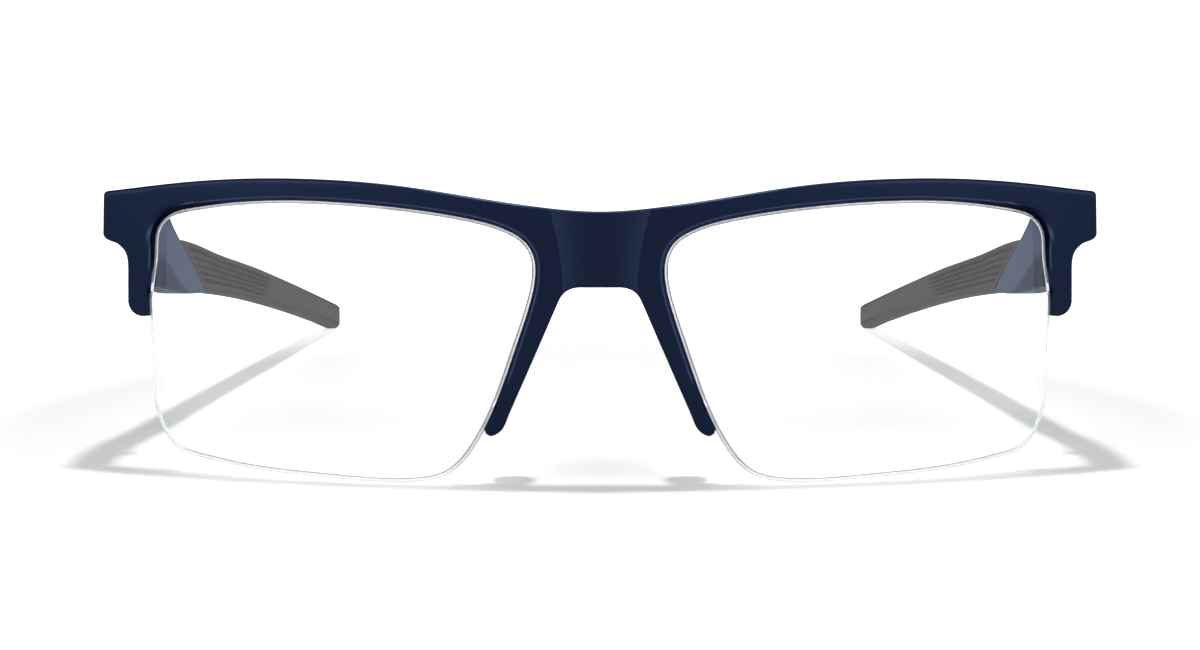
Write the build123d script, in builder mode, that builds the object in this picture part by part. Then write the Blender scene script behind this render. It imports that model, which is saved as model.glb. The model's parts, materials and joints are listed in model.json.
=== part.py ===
"""Half rim eyeglasses: a moulded front over two clear lenses held by nylon cords, and two folding temples.

Millimetres. +X is the wearer's left, +Y runs back along the temples, +Z is up. The glasses stand open on a
table at Z = 0, on the lower edges of both lenses and on both temple tips. The origin is at the centre of that
footprint. The front is drawn in a leaning plane: x across, s up the front and n forwards. The temples are
drawn in the hinge's own frame: u outwards, v backwards and w up the hinge axis. Each pair is drawn once, on
the wearer's left, and mirrored.
"""

from build123d import *
from math import cos, hypot, radians, sin, sqrt, tan
import os

os.makedirs("parts", exist_ok=True)

# Driving dimensions of the front
lens_width = 54.3
lens_height = 38.55
nose_gap = 17.36
end_reach = 6.95
lean = 4.5
base_radius = 132.5
sphere_shift = 8.0
lens_thickness = 2.0
face_proud = 1.0
back_proud = 0.8
bridge_dip = 1.45
bridge_height = 10.2
bridge_radius = 25.0
bridge_lean = 2.7
bridge_proud = 1.04
bridge_back = 2.6
bridge_half_width = 7.4
bridge_drop = 3.2
stub_width = 3.1
stub_length = 10.2
stub_corner = 2.2
corner_radius = 0.7
end_rise = 1.2

# Lens groove, with the rail above and the cord below
lens_gap = 0.05
groove_depth = 0.65
groove_width = 0.9
rail_clearance = 0.05
rail_root = 0.3
cord_width = 0.6
cord_depth = 0.55
cord_sink = 0.05
cord_top_outer = 26.0
cord_top_inner = 10.8

# Hinges
hinge_behind_rim = 6.3
hinge_below_top = 2.55
hinge_inset = 1.9
end_height = 7.0
barrel_radius = 1.4
barrel_height = 6.0
middle_knuckle = 2.0
knuckle_gap = 0.05
barrel_clearance = 0.2
pivot_radius = 0.7
pivot_clearance = 0.05
pivot_head_radius = 1.15
pivot_head_height = 0.6
slot_width = 0.3
slot_depth = 0.3
leaf_thickness = 1.0
leaf_length = 5.2
leaf_start = 0.3
leaf_clearance = 0.02
leaf_screw_radius = 0.5
leaf_screw_head_radius = 0.85
leaf_screw_head = 0.3
leaf_screw_length = 2.6
leaf_screw_pitch = 2.6
joint_gap = 0.1

# Temples
temple_length = 129.0
temple_inset = 7.0
temple_thickness = 4.5
temple_taper = 0.5
heel_depth = 11.0
relief_depth = 2.4
relief_drop = 0.9
grip_start = 17.3
grip_slant = 15.2
grip_front_height = 8.8
grip_gap = 0.1
tip_height = 4.3
tip_round = 1.5
tongue_thickness = 1.4
tongue_inset = 1.2
tongue_short = 10.0
tongue_tip_half = 0.9
tongue_clearance = 0.05

# Nose pads
fin_length = 9.0
fin_depth = 3.6
fin_root = 0.6
fin_thickness = 0.9
pad_length = 12.5
pad_depth = 5.6
pad_thickness = 2.4
pad_corner = 2.2
pad_edge = 0.5
pad_clearance = 0.1
pad_gap = 0.35

# Worked out from the driving dimensions
reach = 40.0
ahead = 5.0
overlap = 0.02
shell_half_turn = 38.0
nose_edge = nose_gap / 2
outer_edge = nose_edge + lens_width
half_width = outer_edge + end_reach
mid_height = lens_height * 0.52
hinge_height = lens_height - hinge_below_top
end_low = hinge_height - end_height / 2
bridge_top = lens_height - bridge_dip
bridge_low = bridge_top - bridge_height
face_radius = base_radius + face_proud
lens_back_radius = base_radius - lens_thickness
back_radius = lens_back_radius - back_proud
groove_radius = base_radius - lens_thickness / 2
lean_sin = sin(radians(lean))
lean_cos = cos(radians(lean))


def depth_at(x, s, radius):
    """n of the sphere of the given radius over the point x, s."""
    return sqrt(radius**2 - (x - sphere_shift) ** 2 - (s - mid_height) ** 2) - base_radius


hinge_x = outer_edge + hinge_inset
leaf_inner = barrel_radius - leaf_thickness
leaf_near = barrel_radius + leaf_start
hinge_depth = hinge_behind_rim - depth_at(half_width, hinge_height, back_radius)
foot_z = -depth_at(nose_edge + 0.39 * lens_width, 0, lens_back_radius) * lean_sin
hinge_y = hinge_height * lean_sin + hinge_depth * lean_cos
hinge_z = foot_z + hinge_height * lean_cos - hinge_depth * lean_sin


def table_w(v):
    """w of the table under the point v of a temple."""
    return (v * lean_sin - hinge_z) / lean_cos


tip_w = table_w(temple_length) + tip_height / 2
front_y = -(hinge_y + temple_length * lean_cos + tip_w * lean_sin) / 2

front = Plane(origin=(0, front_y, foot_z), x_dir=(1, 0, 0), z_dir=(0, -lean_cos, lean_sin))
hinge_point = (hinge_x, front_y + hinge_y, hinge_z)
hinge = Plane(origin=hinge_point, x_dir=(1, 0, 0), z_dir=(0, lean_sin, lean_cos))
temple_side = Plane(origin=hinge_point, x_dir=(0, lean_cos, -lean_sin), z_dir=(1, 0, 0))


def on_front(x, s, n):
    """The point x, s, n of the leaning plane."""
    return front.from_local_coords(Vector(x, s, n))


# Lens outline: share of the lens width from the nose side, share of the lens height from the bottom
lens_shape = [
    (0.118, 0.227), (0.086, 0.334), (0.051, 0.476), (0.018, 0.617), (0.001, 0.721),
    (0.003, 0.799), (0.024, 0.855), (0.069, 0.898), (0.175, 0.942), (0.357, 0.980),
    (0.541, 1.000), (0.729, 0.999), (0.890, 0.972), (0.952, 0.943), (0.979, 0.898),
    (0.987, 0.804), (0.998, 0.674), (0.999, 0.571), (0.992, 0.382), (0.986, 0.241),
    (0.965, 0.163), (0.930, 0.102), (0.868, 0.071), (0.734, 0.037), (0.538, 0.012),
    (0.393, 0.000), (0.291, 0.005), (0.227, 0.029), (0.183, 0.079), (0.153, 0.137),
]

# Top of the brow bar: share of the lens width from the nose side, height above the top of the lens
brow_shape = [(-0.022, -0.93), (0.144, 0.36), (0.356, 2.09), (0.540, 2.88), (0.697, 3.03), (0.888, 2.56)]


def lens_loop(outset):
    """Points of the lens outline, moved outwards by outset along the line square to their neighbours."""
    points = [(nose_edge + a * lens_width, b * lens_height) for a, b in lens_shape]
    moved = []
    for before, here, after in zip(points[-1:] + points[:-1], points, points[1:] + points[:1]):
        across = after[0] - before[0]
        up = after[1] - before[1]
        size = hypot(across, up)
        moved.append((here[0] - up / size * outset, here[1] + across / size * outset))
    return moved


def lens_face(outset):
    """The lens outline as a face, moved outwards by outset."""
    with BuildSketch() as outline:
        with BuildLine():
            Spline(*lens_loop(outset), periodic=True)
        make_face()
    return outline.sketch


def beyond_face(outer_s, inner_s, far_s):
    """All from far_s to a line over the lens, at outer_s on its outer edge and inner_s on its nose side."""
    far_x = outer_edge + stub_width
    with BuildSketch() as outline:
        with BuildLine():
            Polyline(
                (far_x, outer_s), (nose_edge + 10, inner_s), (0, inner_s),
                (0, far_s), (far_x, far_s), (far_x, outer_s),
            )
        make_face()
    return outline.sketch


def rim_face():
    """Half the front as a face, from the middle of the bridge to the end piece, closed across the lens."""
    stub_x = outer_edge + stub_width
    stub_low = end_low - stub_length
    brow = [(nose_edge + a * lens_width, lens_height + rise) for a, rise in brow_shape]
    end_top = (half_width - corner_radius, lens_height + end_rise)
    end_foot = (half_width - 0.9, end_low + 0.3)
    shoulder = (stub_x + 1.7, end_low - 0.1)
    stub_foot = (stub_x - stub_corner, stub_low)
    leg_top = (nose_edge - 2.73, bridge_low - 2.7)
    leg_end = (nose_edge + 3.62, 0.252 * lens_height)
    leg_tip = (nose_edge + 6.2, 0.172 * lens_height)
    leg_slope = (leg_top[0] - leg_end[0], leg_top[1] - leg_end[1])
    arch = (2.7, bridge_low)
    inside_s = 0.187 * lens_height
    with BuildSketch() as outline:
        with BuildLine():
            Spline((0, bridge_top), *brow, end_top, tangents=((1, 0), (1, -0.11)))
            ThreePointArc(end_top, (half_width - 0.18, end_top[1] - 0.22), (half_width, end_top[1] - 0.75))
            Line((half_width, end_top[1] - 0.75), (half_width, end_low + 1.4))
            ThreePointArc((half_width, end_low + 1.4), (half_width - 0.25, end_low + 0.7), end_foot)
            Line(end_foot, shoulder)
            ThreePointArc(shoulder, (stub_x + 0.55, end_low - 1.1), (stub_x, end_low - 3.5))
            Line((stub_x, end_low - 3.5), (stub_x, stub_low + stub_corner))
            ThreePointArc((stub_x, stub_low + stub_corner), (stub_x - 0.64, stub_low + 0.64), stub_foot)
            Polyline(
                stub_foot, (outer_edge - 4, stub_low),
                (nose_edge + 10, inside_s), (nose_edge + 6.9, inside_s),
            )
            ThreePointArc((nose_edge + 6.9, inside_s), (nose_edge + 6.75, leg_tip[1] + 0.22), leg_tip)
            Spline(leg_tip, (nose_edge + 4.75, leg_tip[1] + 0.77), leg_end, tangents=((-1, 0.1), leg_slope))
            Line(leg_end, leg_top)
            Spline(leg_top, (nose_edge - 3.82, bridge_low - 0.79), arch, tangents=(leg_slope, (-1, 0)))
            Polyline(arch, (0, bridge_low), (0, bridge_top))
        make_face()
    return outline.sketch


def shell(outer, inner):
    """The space between two spheres about the left side's centre, as far as the front reaches."""
    middle = on_front(sphere_shift, mid_height, -base_radius)
    up = on_front(sphere_shift, mid_height + 1, -base_radius) - middle
    start = front.z_dir.rotate(Axis((0, 0, 0), up), -shell_half_turn)
    with BuildPart() as band:
        with BuildSketch(Plane(origin=middle, x_dir=start, z_dir=start.cross(up))):
            with BuildLine():
                CenterArc((0, 0), outer, -shell_half_turn, 2 * shell_half_turn)
                CenterArc((0, 0), inner, -shell_half_turn, 2 * shell_half_turn)
                for turn in (radians(-shell_half_turn), radians(shell_half_turn)):
                    Line((inner * cos(turn), inner * sin(turn)), (outer * cos(turn), outer * sin(turn)))
            make_face()
        revolve(axis=Axis(middle, up), revolution_arc=2 * shell_half_turn)
    return band.part


def leaf_screws(back, clearance):
    """Two small screws through a hinge leaf, grown by clearance."""
    screws = []
    first = back * (leaf_near + leaf_length / 2 - leaf_screw_pitch / 2)
    for step in (0, back * leaf_screw_pitch):
        seat = hinge.from_local_coords(Vector(leaf_inner - overlap, first + step, 0))
        shank = Plane(origin=seat, z_dir=(1, 0, 0))
        placed = {"align": (Align.CENTER, Align.CENTER, Align.MIN), "mode": Mode.PRIVATE}
        radius = leaf_screw_radius + clearance
        screws.append(shank * Cylinder(radius, leaf_screw_length + clearance, **placed))
        if not clearance:
            head = Plane(origin=seat, z_dir=(-1, 0, 0))
            screws.append(head * Cylinder(leaf_screw_head_radius, leaf_screw_head, **placed))
    return screws


# Half of the front, on the wearer's left: the bar, the nose leg, the stub, the rail and the end piece
with BuildPart() as rail:
    with BuildSketch(front.offset(ahead)):
        add(lens_face(rail_root))
    extrude(amount=-reach)
    half_rail = groove_width / 2 - rail_clearance
    add(shell(groove_radius + half_rail, groove_radius - half_rail), mode=Mode.INTERSECT)
    with BuildSketch(front.offset(ahead)):
        add(lens_face(rail_clearance - groove_depth))
    extrude(amount=-reach, mode=Mode.SUBTRACT)
    with BuildSketch(front.offset(ahead)):
        add(beyond_face(cord_top_outer, cord_top_inner, -ahead))
    extrude(amount=-reach, mode=Mode.SUBTRACT)

with BuildPart() as half_front:
    with BuildSketch(front.offset(ahead)):
        add(rim_face())
        add(lens_face(lens_gap), mode=Mode.SUBTRACT)
    extrude(amount=-reach)
    add(shell(face_radius, back_radius), mode=Mode.INTERSECT)
    end_start = depth_at(half_width, hinge_height, face_radius) - face_proud / 2
    with BuildSketch(front.offset(end_start)):
        add(rim_face())
        with Locations((hinge_x + leaf_inner, end_low)):
            Rectangle(reach, reach, align=(Align.MIN, Align.MIN), mode=Mode.INTERSECT)
    extrude(amount=-(hinge_depth - joint_gap + end_start))
    add(rail.part)

# The bridge is a facet of its own: a leaning cylinder that stands a little proud of both halves
with BuildPart() as bridge:
    with BuildSketch(front.offset(-bridge_back)):
        add(rim_face())
        mirror(about=Plane.YZ)
        with Locations((0, bridge_top)):
            Rectangle(2 * bridge_half_width, 2 * reach, mode=Mode.INTERSECT)
        with Locations((0, bridge_low + reach / 2 - bridge_drop)):
            Rectangle(2 * bridge_half_width, reach, mode=Mode.INTERSECT)
    extrude(amount=reach)
    bridge_axis = on_front(0, bridge_low + bridge_height / 2, bridge_proud - bridge_radius)
    with Locations(Plane(origin=bridge_axis, x_dir=(1, 0, 0), z_dir=front.z_dir)):
        Cylinder(bridge_radius, 3 * reach, rotation=(90 - bridge_lean, 0, 0), mode=Mode.INTERSECT)

# Fins behind the nose legs carry the pads
leg_down = Vector(6.35, -14.53, 0).normalized()
fin_x = nose_edge + 2.85
fin_s = 0.376 * lens_height
fin_n = depth_at(fin_x, fin_s, back_radius)
fin_origin = on_front(fin_x, fin_s, fin_n)
fin_along = on_front(fin_x + leg_down.X, fin_s + leg_down.Y, fin_n) - fin_origin
fin_back = on_front(fin_x, fin_s, fin_n - 1) - fin_origin
fin_plane = Plane(origin=fin_origin, x_dir=fin_along, z_dir=fin_along.cross(fin_back))

with BuildPart() as fin:
    with BuildSketch(fin_plane):
        with Locations((0, (fin_depth - fin_root) / 2)):
            RectangleRounded(fin_length, fin_depth + fin_root, fin_depth / 4)
    extrude(amount=fin_thickness / 2, both=True)

with BuildPart() as nose_pad:
    with BuildSketch(fin_plane):
        with Locations((0, pad_gap + pad_depth / 2)):
            RectangleRounded(pad_length, pad_depth, pad_corner)
    extrude(amount=pad_thickness / 2, both=True)
    fillet(nose_pad.edges().filter_by(GeomType.CIRCLE), radius=pad_edge)
    with BuildSketch(fin_plane):
        with Locations((0, (fin_depth - fin_root) / 2)):
            room = 2 * pad_clearance
            RectangleRounded(fin_length + room, fin_depth + fin_root + room, fin_depth / 4)
    extrude(amount=fin_thickness / 2 + pad_clearance, both=True, mode=Mode.SUBTRACT)


def leaf_pocket(back):
    """Room for a hinge leaf and its barrel. back is 1 in the temple and -1 in the front."""
    corner = (Align.MAX, Align.MIN if back > 0 else Align.MAX)
    with BuildPart() as pocket:
        with BuildSketch(hinge.offset(-barrel_height / 2 - leaf_clearance)):
            with Locations((barrel_radius + leaf_clearance, 0)):
                Rectangle(reach / 4, leaf_near + leaf_length + leaf_clearance, align=corner)
        extrude(amount=barrel_height + 2 * leaf_clearance)
        with BuildSketch(hinge.offset(-2 * end_height)):
            Circle(barrel_radius + barrel_clearance)
        extrude(amount=4 * end_height)
        add(leaf_screws(back, leaf_clearance))
    return pocket.part


with BuildPart() as front_frame:
    add(half_front.part)
    add(fin.part)
    add(leaf_pocket(-1), mode=Mode.SUBTRACT)
    mirror(about=Plane.YZ)
    add(bridge.part)

# Lens with its groove, and the cord that lies in the lower part of the groove
with BuildPart() as groove:
    with BuildSketch(front.offset(ahead)):
        add(lens_face(rail_root))
    extrude(amount=-reach)
    add(shell(groove_radius + groove_width / 2, groove_radius - groove_width / 2), mode=Mode.INTERSECT)
    with BuildSketch(front.offset(ahead)):
        add(lens_face(-groove_depth))
    extrude(amount=-reach, mode=Mode.SUBTRACT)

with BuildPart() as lens:
    with BuildSketch(front.offset(ahead)):
        add(lens_face(0))
    extrude(amount=-reach)
    add(shell(base_radius, lens_back_radius), mode=Mode.INTERSECT)
    add(groove.part, mode=Mode.SUBTRACT)

with BuildPart() as lens_cord:
    with BuildSketch(front.offset(ahead)):
        add(lens_face(-cord_sink))
    extrude(amount=-reach)
    add(shell(groove_radius + cord_width / 2, groove_radius - cord_width / 2), mode=Mode.INTERSECT)
    with BuildSketch(front.offset(ahead)):
        add(lens_face(-cord_sink - cord_depth))
    extrude(amount=-reach, mode=Mode.SUBTRACT)
    with BuildSketch(front.offset(ahead)):
        cord_tops = (cord_top_outer - rail_clearance, cord_top_inner - rail_clearance)
        add(beyond_face(*cord_tops, lens_height + ahead))
    extrude(amount=-reach, mode=Mode.SUBTRACT)


def knuckles(spans):
    """Hinge barrels over the given spans of w."""
    with BuildPart() as barrels:
        for low, high in spans:
            with BuildSketch(hinge.offset(low)):
                Circle(barrel_radius)
            extrude(amount=high - low)
    return barrels.part


def leaf(spans, back):
    """A hinge leaf joined to its knuckles over spans. back is 1 behind the pin and -1 ahead of it."""
    across = leaf_inner + leaf_thickness / 2
    with BuildPart() as plate:
        with BuildSketch(hinge.offset(-barrel_height / 2)):
            with Locations((across, back * (leaf_near + leaf_length / 2))):
                Rectangle(leaf_thickness, leaf_length)
        extrude(amount=barrel_height)
        for low, high in spans:
            with BuildSketch(hinge.offset(low)):
                with Locations((across, back * leaf_near / 2)):
                    Rectangle(leaf_thickness, leaf_near + overlap)
            extrude(amount=high - low)
        add(knuckles(spans))
        with BuildSketch(hinge.offset(-barrel_height)):
            Circle(pivot_radius + pivot_clearance)
        extrude(amount=2 * barrel_height, mode=Mode.SUBTRACT)
        add(leaf_screws(back, leaf_clearance), mode=Mode.SUBTRACT)
    return plate.part


half_knuckle = middle_knuckle / 2
outer_knuckle = half_knuckle + knuckle_gap
front_spans = [(-barrel_height / 2, -outer_knuckle), (outer_knuckle, barrel_height / 2)]
temple_spans = [(-half_knuckle, half_knuckle)]

with BuildPart() as hinge_front:
    add(leaf(front_spans, -1))

with BuildPart() as hinge_temple:
    add(leaf(temple_spans, 1))

with BuildPart() as front_leaf_screws:
    add(leaf_screws(-1, 0))

with BuildPart() as temple_leaf_screws:
    add(leaf_screws(1, 0))

with BuildPart() as hinge_screw:
    with BuildSketch(hinge.offset(-barrel_height / 2)):
        Circle(pivot_radius)
    extrude(amount=barrel_height + 2 * overlap)
    head_low = barrel_height / 2 + overlap
    with BuildSketch(hinge.offset(head_low)):
        Circle(pivot_head_radius)
    extrude(amount=pivot_head_height)
    with BuildSketch(hinge.offset(head_low + pivot_head_height - slot_depth)):
        Rectangle(2 * pivot_head_radius, slot_width, rotation=30)
    extrude(amount=2 * slot_depth, mode=Mode.SUBTRACT)


# Temple outlines in v and w. The boundary between arm and grip slants down and back across the side.
grip_top_start = (grip_start, -3.85)
grip_low_start = (grip_start + grip_slant, grip_top_start[1] - grip_front_height)
tip_top = (temple_length - tip_round, table_w(temple_length) + tip_height + 0.3)
tip_low = (temple_length - tip_round, table_w(temple_length - tip_round))
tip_end = (temple_length, (tip_top[1] + tip_low[1]) / 2)
top_shape = [(0.034, 0.018), (0.19, 0.170), (0.40, 0.363), (0.563, 0.526), (0.726, 0.698)]
low_shape = [(0.189, 0.124), (0.426, 0.330), (0.596, 0.509), (0.794, 0.734)]


def along(start, end, shape):
    """Points from start to end at the given shares of the length and of the fall."""
    run = end[0] - start[0]
    fall = end[1] - start[1]
    return [(start[0] + a * run, start[1] + b * fall) for a, b in [(0, 0), *shape, (1, 1)]]


top_line = along((grip_start + grip_gap, grip_top_start[1]), tip_top, top_shape)
low_line = along((grip_low_start[0] + grip_gap, grip_low_start[1]), tip_low, low_shape)


def boundary(shift):
    """Three points of the boundary between arm and grip, moved back by shift."""
    middle = (grip_start + 0.53 * grip_slant, grip_top_start[1] - 0.49 * grip_front_height)
    return [(v + shift, w) for v, w in (grip_top_start, middle, grip_low_start)]


def tongue_face(grow):
    """The arm's tongue inside the grip, seen from the side, grown by grow."""
    inner_top = [(v, w - tongue_inset) for v, w in top_line[1:-1]]
    inner_low = [(v, w + tongue_inset) for v, w in low_line[1:-1]]
    end_v = temple_length - tongue_short
    end_w = tip_end[1] + 0.15 * tongue_short
    start = [(grip_start + 1.5, inner_top[0][1] - 0.5), inner_top[0]]
    finish = [(grip_low_start[0] - 2.5, grip_low_start[1] + tongue_inset + 0.1)]
    with BuildSketch() as tongue:
        with BuildLine():
            Polyline(
                *start, *inner_top[1:], (end_v, end_w + tongue_tip_half), (end_v, end_w - tongue_tip_half),
                *reversed(inner_low), *finish, start[0],
            )
        make_face()
        if grow:
            offset(amount=grow, kind=Kind.INTERSECTION)
    return tongue.sketch


def temple_band(inner, outer, inner_turn, outer_turn):
    """A tall band over the temple. It starts between inner and outer, and each face turns in by its angle."""
    ends = (-ahead, temple_length + ahead)
    inner_line = [(leaf_inner + inner - tan(radians(inner_turn)) * v, v) for v in ends]
    outer_line = [(leaf_inner + outer - tan(radians(outer_turn)) * v, v) for v in reversed(ends)]
    with BuildPart() as band:
        with BuildSketch(hinge.offset(-2 * reach)):
            with BuildLine():
                Polyline(*inner_line, *outer_line, inner_line[0])
            make_face()
        extrude(amount=4 * reach)
    return band.part


def tongue_band(grow):
    """The band of the tongue, grown by grow on both faces."""
    middle = temple_thickness / 2
    turn = temple_inset + temple_taper / 2
    half = tongue_thickness / 2 + grow
    return temple_band(middle - half, middle + half, turn, turn)


full_band = temple_band(0, temple_thickness, temple_inset, temple_inset + temple_taper)

# Below the end piece the arm's outer side steps in, so that it stays hidden behind the stub from in front
with BuildPart() as relief:
    relief_u = leaf_inner + temple_thickness
    relief_w = -end_height / 2
    with BuildSketch(Plane(origin=hinge_point, x_dir=(1, 0, 0), z_dir=temple_side.x_dir * -1)):
        with BuildLine():
            beyond = (relief_u + relief_depth, relief_w + relief_drop)
            step = (relief_u - relief_depth, relief_w - relief_drop)
            Polyline(beyond, step, (step[0], -reach), (beyond[0], -reach), beyond)
        make_face()
    extrude(amount=-reach)

with BuildPart() as tongue:
    with BuildSketch(temple_side):
        add(tongue_face(0))
    extrude(amount=reach, both=True)
    add(tongue_band(0), mode=Mode.INTERSECT)

with BuildPart() as tongue_room:
    with BuildSketch(temple_side):
        add(tongue_face(tongue_clearance))
    extrude(amount=reach, both=True)
    add(tongue_band(tongue_clearance), mode=Mode.INTERSECT)

with BuildPart() as temple_arm:
    arm_top = (joint_gap, end_height / 2 + 0.2)
    heel = (7, 0.4 - heel_depth)
    heel_front = (3.3, 3.1 - heel_depth)
    with BuildSketch(temple_side):
        with BuildLine():
            Spline(arm_top, (5, 3.65), (7.6, 3.3), (10, 1.6), (12.3, -0.4), (15, -2.35), grip_top_start)
            Spline(*boundary(0))
            Spline(grip_low_start, (17.9, -heel_depth - 0.9), (12.35, -heel_depth), heel)
            Spline(heel, (4.5, 1.65 - heel_depth), heel_front)
            Polyline(heel_front, (joint_gap, -end_height / 2), arm_top)
        make_face()
    extrude(amount=reach, both=True)
    add(full_band, mode=Mode.INTERSECT)
    add(relief.part, mode=Mode.SUBTRACT)
    add(leaf_pocket(1), mode=Mode.SUBTRACT)
    add(tongue.part)

with BuildPart() as temple_grip:
    with BuildSketch(temple_side):
        with BuildLine():
            Spline(*top_line)
            ThreePointArc(top_line[-1], tip_end, low_line[-1])
            Spline(*reversed(low_line))
            Spline(*reversed(boundary(grip_gap)))
        make_face()
    extrude(amount=reach, both=True)
    add(full_band, mode=Mode.INTERSECT)
    add(tongue_room.part, mode=Mode.SUBTRACT)

# Every left piece and its mirror image on the right
front_frame.part.label = "front_frame"
export_step(front_frame.part, "parts/front_frame.step")

PAIRS = {
    "lens": lens,
    "lens_cord": lens_cord,
    "nose_pad": nose_pad,
    "hinge_front": hinge_front,
    "hinge_temple": hinge_temple,
    "hinge_screw": hinge_screw,
    "front_leaf_screws": front_leaf_screws,
    "temple_leaf_screws": temple_leaf_screws,
    "temple_arm": temple_arm,
    "temple_grip": temple_grip,
}
for name, piece in PAIRS.items():
    left = piece.part
    left.label = f"{name}_left"
    export_step(left, f"parts/{name}_left.step")
    right = mirror(left, about=Plane.YZ)
    right.label = f"{name}_right"
    export_step(right, f"parts/{name}_right.step")
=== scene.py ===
"""Half rim eyeglasses: a moulded brow front, two clear lenses held by nylon cords, two folding temples.

Shapes are worked out in millimetres and put into the meshes in metres. The front is drawn in its leaning
plane: x across, s up the front and n forwards. The temples are drawn in the hinge's own frame: u outwards,
v backwards and w up the hinge pin. Each pair is drawn once, on the wearer's left, and mirrored.
"""
import json

import bmesh
import bpy
import numpy as np
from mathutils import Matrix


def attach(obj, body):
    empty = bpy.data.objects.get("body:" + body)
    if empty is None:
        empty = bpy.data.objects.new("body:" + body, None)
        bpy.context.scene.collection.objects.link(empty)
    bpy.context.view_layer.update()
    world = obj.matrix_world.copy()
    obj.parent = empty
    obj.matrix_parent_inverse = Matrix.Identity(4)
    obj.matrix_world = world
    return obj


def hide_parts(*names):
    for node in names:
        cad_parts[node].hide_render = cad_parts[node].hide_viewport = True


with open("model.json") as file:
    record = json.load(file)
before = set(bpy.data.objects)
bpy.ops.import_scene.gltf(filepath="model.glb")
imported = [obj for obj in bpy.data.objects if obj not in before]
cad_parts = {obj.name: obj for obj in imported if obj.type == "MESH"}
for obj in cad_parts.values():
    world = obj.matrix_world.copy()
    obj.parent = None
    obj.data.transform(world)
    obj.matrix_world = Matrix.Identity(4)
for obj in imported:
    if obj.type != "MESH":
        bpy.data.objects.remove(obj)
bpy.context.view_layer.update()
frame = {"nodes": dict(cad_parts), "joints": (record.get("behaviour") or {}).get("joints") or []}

# ---- Table, camera and studio light ----
# The glasses stand open on a pale table under one small overhead lamp, with soft light from all round.
# The lamp throws the temples' shadows outwards and forwards; the table keeps them on a white ground.


def linear(code):
    """A colour from its sRGB hex code, each channel turned to linear light, with alpha 1."""
    channels = np.array([int(code[k:k + 2], 16) for k in (1, 3, 5)]) / 255
    return (*np.where(channels <= 0.04045, channels / 12.92, ((channels + 0.055) / 1.055) ** 2.4), 1.0)


def add_node(tree, kind, settings=None, sockets=None):
    """Adds a node with its own settings. Each socket gets a value, or the output that it is linked to."""
    made = tree.nodes.new(kind)
    for name, value in (settings or {}).items():
        setattr(made, name, value)
    for name, value in (sockets or {}).items():
        if isinstance(value, bpy.types.NodeSocket):
            tree.links.new(value, made.inputs[name])
        else:
            made.inputs[name].default_value = value
    return made


def object_place(tree):
    """The object's own coordinates, in metres."""
    return add_node(tree, "ShaderNodeTexCoord").outputs["Object"]


def noise(tree, scale, detail, place=None):
    """Noise over the object's own coordinates, or over the place given. Scale is in grains a metre."""
    place = object_place(tree) if place is None else place
    return add_node(tree, "ShaderNodeTexNoise", sockets={
        "Vector": place, "Scale": scale, "Detail": detail}).outputs["Fac"]


def in_range(tree, value, low, high, start=0.0, end=1.0, ease="LINEAR"):
    """The value, carried over from start and end to low and high, and kept between them."""
    return add_node(tree, "ShaderNodeMapRange", {"interpolation_type": ease}, {
        "Value": value, "From Min": start, "From Max": end, "To Min": low, "To Max": high}).outputs[0]


def output(tree, shader):
    """Ends a material with the shader."""
    add_node(tree, "ShaderNodeOutputMaterial", sockets={"Surface": shader.outputs[0]})


def principled(tree, sockets):
    """The surface shader, with its sockets set."""
    return add_node(tree, "ShaderNodeBsdfPrincipled", sockets=sockets)


def new_object(name, data):
    """An object with that mesh, lamp or camera, put into the scene."""
    made = bpy.data.objects.new(name, data)
    bpy.context.scene.collection.objects.link(made)
    return made


def new_material(name):
    """An empty node material and its tree."""
    made = bpy.data.materials.new(name)
    made.use_nodes = True
    made.node_tree.nodes.clear()
    return made, made.node_tree


def sees_backdrop(tree):
    """1 for rays from the camera, from gloss and through glass, which meet the white ground, 0 for light."""
    path = add_node(tree, "ShaderNodeLightPath")
    either = add_node(tree, "ShaderNodeMath", {"operation": "MAXIMUM"},
                      {0: path.outputs["Is Camera Ray"], 1: path.outputs["Is Glossy Ray"]})
    return add_node(tree, "ShaderNodeMath", {"operation": "MAXIMUM"},
                    {0: either.outputs[0], 1: path.outputs["Is Transmission Ray"]}).outputs[0]


# Painted board, pale and matte. Far from the glasses it is simply white, so that the ground has no edge.
white_from, white_to, near_share = 0.085, 0.14, 0.09
board, tree = new_material("painted_board_matte")
away = add_node(tree, "ShaderNodeVectorMath", {"operation": "DISTANCE"},
                {0: object_place(tree), 1: (0.0, -0.035, 0.0)}).outputs["Value"]
white_share = in_range(tree, away, near_share, 1.0, white_from, white_to, "SMOOTHSTEP")
glow = add_node(tree, "ShaderNodeMath", {"operation": "MULTIPLY"},
                {0: white_share, 1: sees_backdrop(tree)}).outputs[0]
output(tree, principled(tree, {
    "Base Color": in_range(tree, noise(tree, 900.0, 3.0), 0.79, 0.81), "Roughness": 0.9,
    "Specular IOR Level": 0.0, "Emission Color": (1.0, 1.0, 1.0, 1.0), "Emission Strength": glow}))
table_half = 6.0
mesh = bpy.data.meshes.new("table_top")
mesh.from_pydata([(-table_half, -table_half, 0), (table_half, -table_half, 0),
                  (table_half, table_half, 0), (-table_half, table_half, 0)], [], [(0, 1, 2, 3)])
mesh.materials.append(board)
table_top = new_object("table_top", mesh)

camera = bpy.data.cameras.new("camera")
camera.sensor_width = 36.0
camera.lens = 83.9
camera_place = new_object("camera", camera)
camera_place.location = (0.0, -0.4514, 0.0751)
camera_place.rotation_euler = (np.radians(90 - 8.03), 0.0, 0.0)
bpy.context.scene.camera = camera_place


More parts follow.
